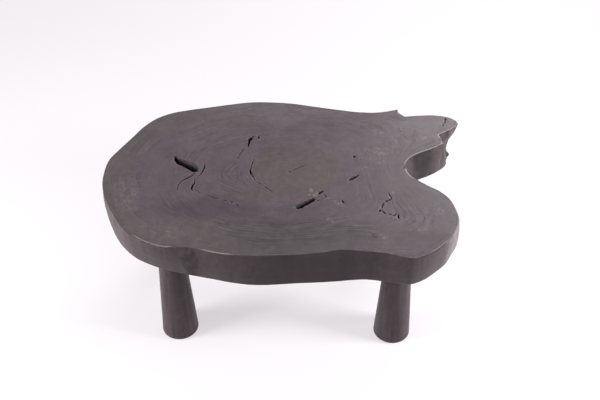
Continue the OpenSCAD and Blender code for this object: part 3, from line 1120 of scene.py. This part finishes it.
    def cut(self, bm: Mesh) -> None:
        """Cuts the surface into a mesh that is fine enough to shape."""
        shaped = (Zone.TOP, Zone.BARK, Zone.HOLLOW)
        for axis in (0, 1):
            self.score(bm, bm.faces[:], axis, planes(self.low[axis], self.high[axis], self.coarse))
        for axis in (0, 1):
            between = planes(self.low[axis] - self.fine, self.high[axis], self.coarse)
            self.score(bm, self.faces(bm, *shaped), axis, between)
        wall = planes(self.under + self.rim_clear, self.top - self.rim_clear, self.fine)
        for zone in (Zone.BARK, Zone.HOLLOW):
            self.score(bm, self.faces(bm, zone), 2, wall)
        loose = [face for face in self.beside_cracks(bm) if len(face.verts) > 4]
        bmesh.ops.triangulate(bm, faces=loose)
        edges = edges_of(self.beside_cracks(bm))
        bmesh.ops.subdivide_edges(bm, edges=edges, cuts=self.splits, use_grid_fill=True)

    def beside_cracks(self, bm: Mesh) -> list[Face]:
        """The faces inside the cracks and those of the top face that lie near one."""
        bm.verts.index_update()
        away = self.distances(bm, Zone.HOLLOW)
        top = self.faces(bm, Zone.TOP)
        near = [face for face in top if min(away[vert.index] for vert in face.verts) < self.margin]
        return near + self.faces(bm, Zone.HOLLOW)

    def score(self, bm: Mesh, faces: list[Face], axis: int, places: list[float]) -> None:
        """Cuts faces along planes across one axis, the middle one first, then each half by itself.

        Args:
            bm: the mesh.
            faces: the faces that are cut; their neighbours only get the new points.
            axis: the axis that the planes lie across.
            places: where the planes lie on it.
        """
        if not faces or not places:
            return
        half = len(places) // 2
        across = Vector(1.0 if i == axis else 0.0 for i in range(3))
        geom = faces + edges_of(faces) + verts_of(faces)
        plane = {"plane_co": across * places[half], "plane_no": across}
        result = bmesh.ops.bisect_plane(bm, geom=geom, dist=0.2 * MM, **plane)
        sides: tuple[list[Face], list[Face]] = ([], [])
        for face in result["geom"]:
            if isinstance(face, Face):
                sides[face.calc_center_median()[axis] > places[half]].append(face)
        self.score(bm, sides[0], axis, places[:half])
        self.score(bm, sides[1], axis, places[half + 1 :])

    def border(self, bm: Mesh, one: Zone, other: Zone) -> list[Vert]:
        """The points where two zones meet."""
        wanted = {one.value, other.value}
        edges = (e for e in bm.edges if {face.material_index for face in e.link_faces} == wanted)
        return verts_of(edges)

    def rub(self, bm: Mesh) -> None:
        """Moves the points: flutes and dents on the bark side, ragged cracks, a rubbed top."""
        bm.normal_update()
        bm.verts.ensure_lookup_table()
        bm.verts.index_update()
        moves: dict[int, Vector] = {}
        self.flute(bm, moves)
        self.spread(bm, moves, Zone.BARK, self.bark_pull)
        cracks: dict[int, Vector] = {}
        self.rag_cracks(bm, cracks)
        self.spread(bm, cracks, Zone.HOLLOW, self.crack_pull)
        for number, move in cracks.items():
            moves[number] = moves.get(number, Vector()) + move
        self.hollow_top(bm, moves)
        for number, move in moves.items():
            place = bm.verts[number].co + move
            held = (min(max(place[axis], self.low[axis]), self.high[axis]) for axis in (0, 1))
            bm.verts[number].co = (*held, place.z)

    def wall_normals(self, bm: Mesh, zone: Zone) -> dict[int, Vector]:
        """Level direction out of the wood at each point of a zone's upright faces."""
        normals: dict[int, Vector] = {}
        nearly_level = 0.9
        for face in self.faces(bm, zone):
            if abs(face.normal.z) > nearly_level:
                continue
            push = Vector((face.normal.x, face.normal.y, 0.0)) * face.calc_area()
            for vert in face.verts:
                normals[vert.index] = normals.get(vert.index, Vector()) + push
        return {number: push.normalized() for number, push in normals.items() if push.length > 0}

    def flute(self, bm: Mesh, moves: dict[int, Vector]) -> None:
        """Presses upright flutes, slow waves and the dents into the bark side."""
        for number, out in self.wall_normals(bm, Zone.BARK).items():
            place = bm.verts[number].co
            drawn = Vector((place.x, place.y, place.z * 0.18))
            flute = 0.5 + 0.5 * rough_noise(drawn, self.flute_width)
            wave = 0.5 + 0.5 * rough_noise(place, 5 * self.flute_width, 2)
            depth = self.flute_depth * (0.55 * flute + 0.8 * wave) - self.proud
            depth += sum(dent.depth * dent.share(place) for dent in self.dents + self.scars)
            moves[number] = -out * depth

    def rag_cracks(self, bm: Mesh, moves: dict[int, Vector]) -> None:
        """Makes the cracks' straight walls stray, and narrows wide voids as they go down."""
        tree = BVHTree.FromBMesh(bm)
        for number, out in self.wall_normals(bm, Zone.HOLLOW).items():
            place = bm.verts[number].co
            start = Vector((place.x, place.y, min(place.z, self.top - self.below)))
            off_wall = out * 0.2 * MM
            hit = tree.ray_cast(start + off_wall, out, self.deepest)
            width = hit[3] if hit[3] is not None else self.deepest
            room = min(self.rag, self.rag_share * width)
            drawn = Vector((place.x, place.y, place.z * 0.5))
            stray = rough_noise(drawn, self.rag_width) * room
            sink = (self.top - place.z) / self.deepest
            most = min(self.narrow_share * width, self.narrows) if width > self.wide else 0.0
            moves[number] = out * (stray + most * sink)

    def spread(self, bm: Mesh, moves: dict[int, Vector], zone: Zone, reach: float) -> None:
        """Lets the faces round a zone follow its moves, less and less with distance.

        Args:
            bm: the mesh.
            moves: how the zone's points move; the points round it are added.
            zone: the zone that moves.
            reach: how far it draws its neighbours along.
        """
        for flat in (Zone.TOP, Zone.UNDER):
            shared = [vert for vert in self.border(bm, zone, flat) if vert.index in moves]
            if not shared:
                continue
            nearby = finder(shared)
            added = {}
            for vert in verts_of(self.faces(bm, flat)):
                if vert.index in moves:
                    continue
                _, nearest, away = nearby.find(vert.co)
                if away < reach:
                    added[vert.index] = moves[shared[nearest].index] * fade(away, reach)
            moves.update(added)

    def hollow_top(self, bm: Mesh, moves: dict[int, Vector]) -> None:
        """Lowers the top face by its slow hollows, its rubbed rim and the dip beside each crack."""
        rim = self.distances(bm, Zone.BARK)
        crack = self.distances(bm, Zone.HOLLOW)
        for vert in verts_of(self.faces(bm, Zone.TOP)):
            slow = 0.5 + 0.5 * rough_noise(vert.co, self.hollow_width, 2)
            wear = 0.6 + 0.6 * rough_noise(vert.co, self.fall_length, 2)
            down = self.hollow_depth * slow
            down += self.fall * max(0.0, wear) * fade(rim[vert.index], self.fall_width)
            chipped = max(0.0, 0.6 + 0.9 * rough_noise(vert.co, self.chip_width, 2))
            down += self.lip * chipped * fade(crack[vert.index], self.lip_width)
            moves[vert.index] = moves.get(vert.index, Vector()) - Vector((0.0, 0.0, max(0.0, down)))

    def distances(self, bm: Mesh, zone: Zone) -> list[float]:
        """How far each point lies from the line where the top face meets a zone."""
        line = finder(self.border(bm, Zone.TOP, zone))
        return [line.find(vert.co)[2] for vert in bm.verts]

    def measure(self, bm: Mesh) -> None:
        """Keeps on each point its distance from the rim and the nearest crack, its growth and its scar."""
        bm.normal_update()
        bm.verts.index_update()
        rim, crack = self.distances(bm, Zone.BARK), self.distances(bm, Zone.HOLLOW)
        growth = GrowthField(self.outline(bm))
        rim_layer, crack_layer, growth_layer, scar_layer = (
            bm.verts.layers.float.new(name) for name in ("rim", "crack", "growth", "scar")
        )
        for vert in bm.verts:
            vert[rim_layer] = rim[vert.index]
            vert[crack_layer] = crack[vert.index]
            vert[growth_layer] = growth.at(vert.co)
            vert[scar_layer] = max(scar.share(vert.co) for scar in self.scars)

    def outline(self, bm: Mesh) -> np.ndarray:
        """The edge of the top face, walked in order, as points of x and y."""
        wanted = {Zone.TOP.value, Zone.BARK.value}
        edges = [e for e in bm.edges if {face.material_index for face in e.link_faces} == wanted]
        live = set(edges)
        edge = edges[0]
        vert = edge.verts[0]
        walk = []
        while edge:
            live.discard(edge)
            vert = edge.other_vert(vert)
            walk.append(vert.co.xy)
            edge = next((near for near in vert.link_edges if near in live), None)
        return np.array(walk)

    def finishes(self) -> list[bpy.types.Material]:
        """The finish of each zone, in the order of the zones."""
        kinds = (
            SandedTop("sanded_top", roughness=0.42, specular=0.20, relief=0.00025),
            BarkSide("bark_side", roughness=0.52, specular=0.26, relief=0.0006),
            CharredHollow("charred_hollow", roughness=0.85, specular=0.15, relief=0.0008),
            SawnUnderside("sawn_underside", roughness=0.70, specular=0.25, relief=0.0005),
            BoredSocket("bored_socket", roughness=0.75, specular=0.25, relief=0.0003),
        )
        return [kind.material() for kind in kinds]


def turned(profile: Sequence[tuple[float, float]], sides: int) -> Mesh:
    """A closed solid of revolution round the Z axis.

    Args:
        profile: radius and height of each point, from one end of the axis to the other.
        sides: how many sides its rounds have.

    Returns:
        The solid's mesh, with its faces in the same order on every run.
    """
    bm = bmesh.new()
    verts = [bm.verts.new((radius, 0.0, height)) for radius, height in profile]
    geom = verts + [bm.edges.new(pair) for pair in zip(verts, verts[1:])]
    turn = {"cent": (0, 0, 0), "axis": (0, 0, 1), "angle": 2 * math.pi, "steps": sides}
    bmesh.ops.spin(bm, geom=geom, use_merge=True, **turn)
    bmesh.ops.remove_doubles(bm, verts=bm.verts, dist=0.01 * MM)
    bmesh.ops.recalc_face_normals(bm, faces=bm.faces)
    bm.verts.index_update()
    bm.faces.sort(key=lambda face: face.verts[0].index * len(bm.verts) + face.verts[2].index)
    return bm


@dataclass
class TurnedLeg:
    """A turned leg: it tapers up from a rounded foot to a shoulder with a stub tenon, bored for its bolt.

    Attributes:
        shoulder_d: diameter where it meets the slab.
        tenon_d: diameter of the tenon.
        tenon_length: length of the tenon.
        bore_d: diameter of the bolt's hole.
        bore_depth: depth of the bolt's hole.
        foot_ease: rounding of the foot's edge.
        shoulder_ease: rounding of the shoulder's and the tenon's edge.
        tool_depth: depth of the marks that the turner left.
        proud: how far the wood between them stands out from the solid.
        foot_from: radius from which a point near the foot can be worn.
        shrink_width: width of one swell of the wood's shrinking.
        gouge_width: height of one mark of the gouge.
        bare_foot: height above the foot that gets no marks.
        bare_end: height under the shoulder that gets none.
        sides: sides of its rounds.
        courses: rings up its taper.
    """

    shoulder_d: float = 66 * MM
    tenon_d: float = 40 * MM
    tenon_length: float = 20 * MM
    bore_d: float = 10.2 * MM
    bore_depth: float = 55.6 * MM
    foot_ease: float = 2.5 * MM
    shoulder_ease: float = 0.8 * MM
    tool_depth: float = 0.5 * MM
    proud: float = 0.3 * MM
    foot_from: float = 30 * MM
    shrink_width: float = 40 * MM
    gouge_width: float = 11 * MM
    bare_foot: float = 6 * MM
    bare_end: float = 2 * MM
    sides: int = 96
    courses: int = 44

    def profile(self, low: float, high: float, foot_d: float) -> list[tuple[float, float]]:
        """Radius and height of the leg's outline, from the middle of its foot to the bottom of its bore."""
        shoulder = high - self.tenon_length
        foot_r, shoulder_r = foot_d / 2, self.shoulder_d / 2
        tenon_r, bore_r = self.tenon_d / 2, self.bore_d / 2
        ease, edge = self.foot_ease, self.shoulder_ease
        flat_r = foot_r - ease
        points = [(0.0, low)] + [(flat_r * share, low) for share in (0.35, 0.7)]
        points += [
            (flat_r + ease * math.sin(turn), low + ease * (1 - math.cos(turn)))
            for turn in (math.radians(90 * step / 6) for step in range(7))
        ]
        start = low + ease
        end = shoulder - edge
        for step in range(1, self.courses + 1):
            share = step / self.courses
            points.append((foot_r + (shoulder_r - foot_r) * share, start + (end - start) * share))
        points += [(shoulder_r - edge, shoulder)]
        points += [(tenon_r, shoulder), (tenon_r, high - edge), (tenon_r - edge, high)]
        points += [(bore_r, high), (bore_r, high - self.bore_depth / 2), (bore_r, high - self.bore_depth)]
        return points + [(0.0, high - self.bore_depth)]

    def build(self, corner: str, finish: bpy.types.Material) -> bpy.types.Object:
        """Makes one leg.

        Args:
            corner: the corner that it stands at.
            finish: its wood.

        Returns:
            The leg's object, riding on the frame.
        """
        node = "leg_" + corner
        low, high, middle = footing(node)
        bm = turned(self.profile(low.z, high.z, high.x - low.x), self.sides)
        rim = bm.verts.layers.float.new("rim")
        shoulder = high.z - self.tenon_length
        for vert in bm.verts:
            radius = vert.co.xy.length
            outside = radius > self.tenon_d / 2 + MM
            height = vert.co.z - low.z
            vert[rim] = abs(height - self.foot_ease / 2) if radius > self.foot_from else 1.0
            if outside and self.bare_foot < height and vert.co.z < shoulder - self.bare_end:
                self.mark(vert, middle)
        bmesh.ops.translate(bm, verts=bm.verts, vec=middle)
        leg = as_object(bm, "turned_" + node, finish, sharp=40)
        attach(leg, BODY)
        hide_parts(node)
        return leg

    def mark(self, vert: Vert, middle: Vector) -> None:
        """Presses the turner's marks and the wood's slow shrinking into a point of the taper."""
        place = vert.co + middle
        upright = Vector((place.x, place.y, place.z * 0.3))
        level = Vector((place.x * 0.2, place.y * 0.2, place.z))
        slow = 0.5 + 0.5 * rough_noise(upright, self.shrink_width, 2)
        gouge = 0.5 + 0.5 * rough_noise(level, self.gouge_width, 2)
        depth = self.tool_depth * (1.2 * slow + 0.5 * gouge) - self.proud
        out = Vector((vert.co.x, vert.co.y, 0.0)).normalized()
        vert.co -= out * depth


@dataclass
class FeltPad:
    """A disc of pressed felt under a foot, with a soft, slightly squashed edge.

    Attributes:
        bulge: how far its edge is rounded.
        nap: height of the felt's uneven surface.
        nap_width: width of one swell of it.
        level: height beside its faces that stays even.
        sides: sides of its round.
    """

    bulge: float = 0.8 * MM
    nap: float = 0.12 * MM
    nap_width: float = 3 * MM
    level: float = 0.1 * MM
    sides: int = 96

    def build(self, corner: str, finish: bpy.types.Material) -> bpy.types.Object:
        """Makes one pad.

        Args:
            corner: the corner that it lies under.
            finish: its felt.

        Returns:
            The pad's object, riding on the frame.
        """
        node = "foot_pad_" + corner
        low, high, middle = footing(node)
        radius, thick = (high.x - low.x) / 2, high.z - low.z
        soft = self.bulge
        profile = [(0.0, 0.0)] + [((radius - soft) * share, 0.0) for share in (0.25, 0.5, 0.75, 1.0)]
        profile += [
            (radius - soft * (1 - math.sin(turn)), thick / 2 - (thick / 2) * math.cos(turn))
            for turn in (math.radians(180 * step / 8) for step in range(1, 8))
        ]
        profile += [((radius - soft) * share, thick) for share in (1.0, 0.75, 0.5, 0.25)] + [(0.0, thick)]
        bm = turned(profile, self.sides)
        for vert in bm.verts:
            if self.level < vert.co.z < thick - self.level:
                out = Vector((vert.co.x, vert.co.y, 0.0)).normalized()
                vert.co -= out * self.nap * (1 + rough_noise(vert.co + middle, self.nap_width))
        bmesh.ops.translate(bm, verts=bm.verts, vec=middle)
        pad = as_object(bm, "felt_pad_" + corner, finish, sharp=40)
        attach(pad, BODY)
        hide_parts(node)
        return pad


@dataclass
class Fasteners:
    """The hanger bolts and threaded inserts: their solids stay, and get their metal."""

    def dress(self) -> list[bpy.types.Object]:
        """Gives each fastener its metal.

        Returns:
            The fasteners' objects.
        """
        metals = {
            "hanger_bolt_": ThreadMetal("plated_steel", 0.34, 0.5, 0.00005),
            "insert_": ThreadMetal(
                "insert_brass", 0.30, 0.5, 0.00004, bright=(0.60, 0.42, 0.16), tarnished=(0.28, 0.18, 0.07)
            ),
        }
        dressed = []
        for start, finish in metals.items():
            metal = finish.material()
            for corner in CORNERS:
                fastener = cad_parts[start + corner]
                fastener.data.materials.clear()
                fastener.data.materials.append(metal)
                dressed.append(fastener)
        return dressed


@dataclass
class Studio:
    """A plain pale floor, soft light and the camera.

    Attributes:
        lens: focal length for a 36 mm wide frame.
        eye: where the camera stands.
        tilt: how far it is tilted up from looking straight down, in degrees.
        floor_radius: radius of the floor.
        pale: colour of the floor and of all that lies behind it.
        bounce: colour that the floor throws back on the object.
        lift: share of the floor's own brightness that its shadows keep.
        clear: how far out the floor starts to show only its own brightness, and where it shows nothing else.
        sky: strength of the light from all sides.
    """

    lens: float = 52.75
    eye: tuple[float, float, float] = (0.0358, -1.7592, 1.8275)
    tilt: float = 48.56
    floor_radius: float = 9.0
    pale: Colour = (0.96, 0.92, 0.945)
    bounce: Colour = (0.60, 0.555, 0.58)
    lift: float = 0.60
    clear: tuple[float, float] = (1.2, 3.2)
    sky: float = 0.22

    def build(self) -> None:
        """Sets the stage."""
        self.camera()
        self.floor()
        self.world()
        self.softbox("overhead", (0.0, 0.3, 2.8), (0, 0, 0.3), 2.4, 7.0)
        self.softbox("back_right", (1.5, 3.0, 2.1), (0.3, 0.1, 0.35), 1.4, 68.0)
        self.softbox("left", (-2.0, -0.75, 1.05), (0, -0.1, 0.2), 0.8, 54.0, glares=False)
        self.softbox("right", (2.0, -0.50, 1.10), (0, -0.1, 0.2), 0.7, 57.0, glares=False)
        bpy.context.scene.view_settings.view_transform = "Standard"

    def camera(self) -> None:
        """Stands the camera where the photograph was taken."""
        data = bpy.data.cameras.new("camera")
        data.lens = self.lens
        data.sensor_width = 36.0
        data.clip_end = 50.0
        camera = bpy.data.objects.new("camera", data)
        camera.location = self.eye
        camera.rotation_euler = Euler((math.radians(self.tilt), 0.0, 0.0))
        bpy.context.collection.objects.link(camera)
        bpy.context.scene.camera = camera

    def seen(self, bench: NodeBench) -> Socket:
        """1 where a ray comes from the camera, a reflection or through glass, 0 where it carries light."""
        rays = bench.node("LightPath").outputs
        plain = bench.math("MAXIMUM", rays["Is Camera Ray"], rays["Is Glossy Ray"])
        return bench.math("MAXIMUM", plain, rays["Is Transmission Ray"])

    def floor(self) -> None:
        """Lays the floor: it takes the object's shadow, and looks pale."""
        bm = bmesh.new()
        bmesh.ops.create_circle(bm, cap_ends=True, segments=96, radius=self.floor_radius)
        material = bpy.data.materials.new("pale_floor")
        material.use_nodes = True
        tree = material.node_tree
        bench = NodeBench(tree)
        tree.nodes.clear()
        bounced = bench.node("BsdfDiffuse", {"Color": self.bounce}).outputs[0]
        shaded = bench.node("BsdfDiffuse", {"Color": self.pale}).outputs[0]
        glow = bench.node("Emission", {"Color": self.pale, "Strength": 1.0}).outputs[0]
        away = bench.node("VectorMath", {0: bench.place()}, operation="LENGTH").outputs["Value"]
        lift = bench.step(away, *self.clear, self.lift, 1.0)
        look = bench.node("MixShader", {0: lift, 1: shaded, 2: glow}).outputs[0]
        surface = bench.node("MixShader", {0: self.seen(bench), 1: bounced, 2: look}).outputs[0]
        bench.node("OutputMaterial", {"Surface": surface})
        floor = as_object(bm, "floor", material)

    def world(self) -> None:
        """Lights the object from all sides, and shows the pale background."""
        world = bpy.data.worlds.new("studio")
        bpy.context.scene.world = world
        world.use_nodes = True
        world.node_tree.nodes.clear()
        bench = NodeBench(world.node_tree)
        strength = bench.step(self.seen(bench), 0.0, 1.0, self.sky, 1.0)
        surface = bench.node("Background", {"Color": self.pale, "Strength": strength}).outputs[0]
        bench.node("OutputWorld", {"Surface": surface})

    def softbox(
        self,
        name: str,
        place: Sequence[float],
        aim: Sequence[float],
        size: float,
        power: float,
        glares: bool = True,
    ) -> None:
        """Hangs a square soft light.

        Args:
            name: its name.
            place: where it hangs.
            aim: the point that it faces.
            size: length of its sides.
            power: its power, in watts.
            glares: whether it is mirrored in glossy surfaces.
        """
        data = bpy.data.lights.new(name, "AREA")
        data.size = size
        data.energy = power
        light = bpy.data.objects.new(name, data)
        light.visible_camera = False
        light.visible_glossy = glares
        light.location = place
        light.rotation_euler = (Vector(aim) - Vector(place)).to_track_quat("-Z", "Y").to_euler()
        bpy.context.collection.objects.link(light)


def main() -> None:
    """Builds the pieces in order and reports each."""
    logging.basicConfig(level=logging.INFO, format="%(message)s")
    Studio().build()
    made = [Slab().build()]
    wood = TurnedWood("turned_wood", roughness=0.48, specular=0.25, relief=0.0004).material()
    felt = PressedFelt("pressed_felt", roughness=0.9, specular=0.1, relief=0.0006).material()
    for corner in CORNERS:
        made.append(TurnedLeg().build(corner, wood))
        made.append(FeltPad().build(corner, felt))
    made += Fasteners().dress()
    for piece in made:
        faces = piece.data.polygons
        triangles = sum(len(face.vertices) - 2 for face in faces)
        log.info("%s: %d faces, %d triangles", piece.name, len(faces), triangles)


if __name__ == "__main__":
    main()
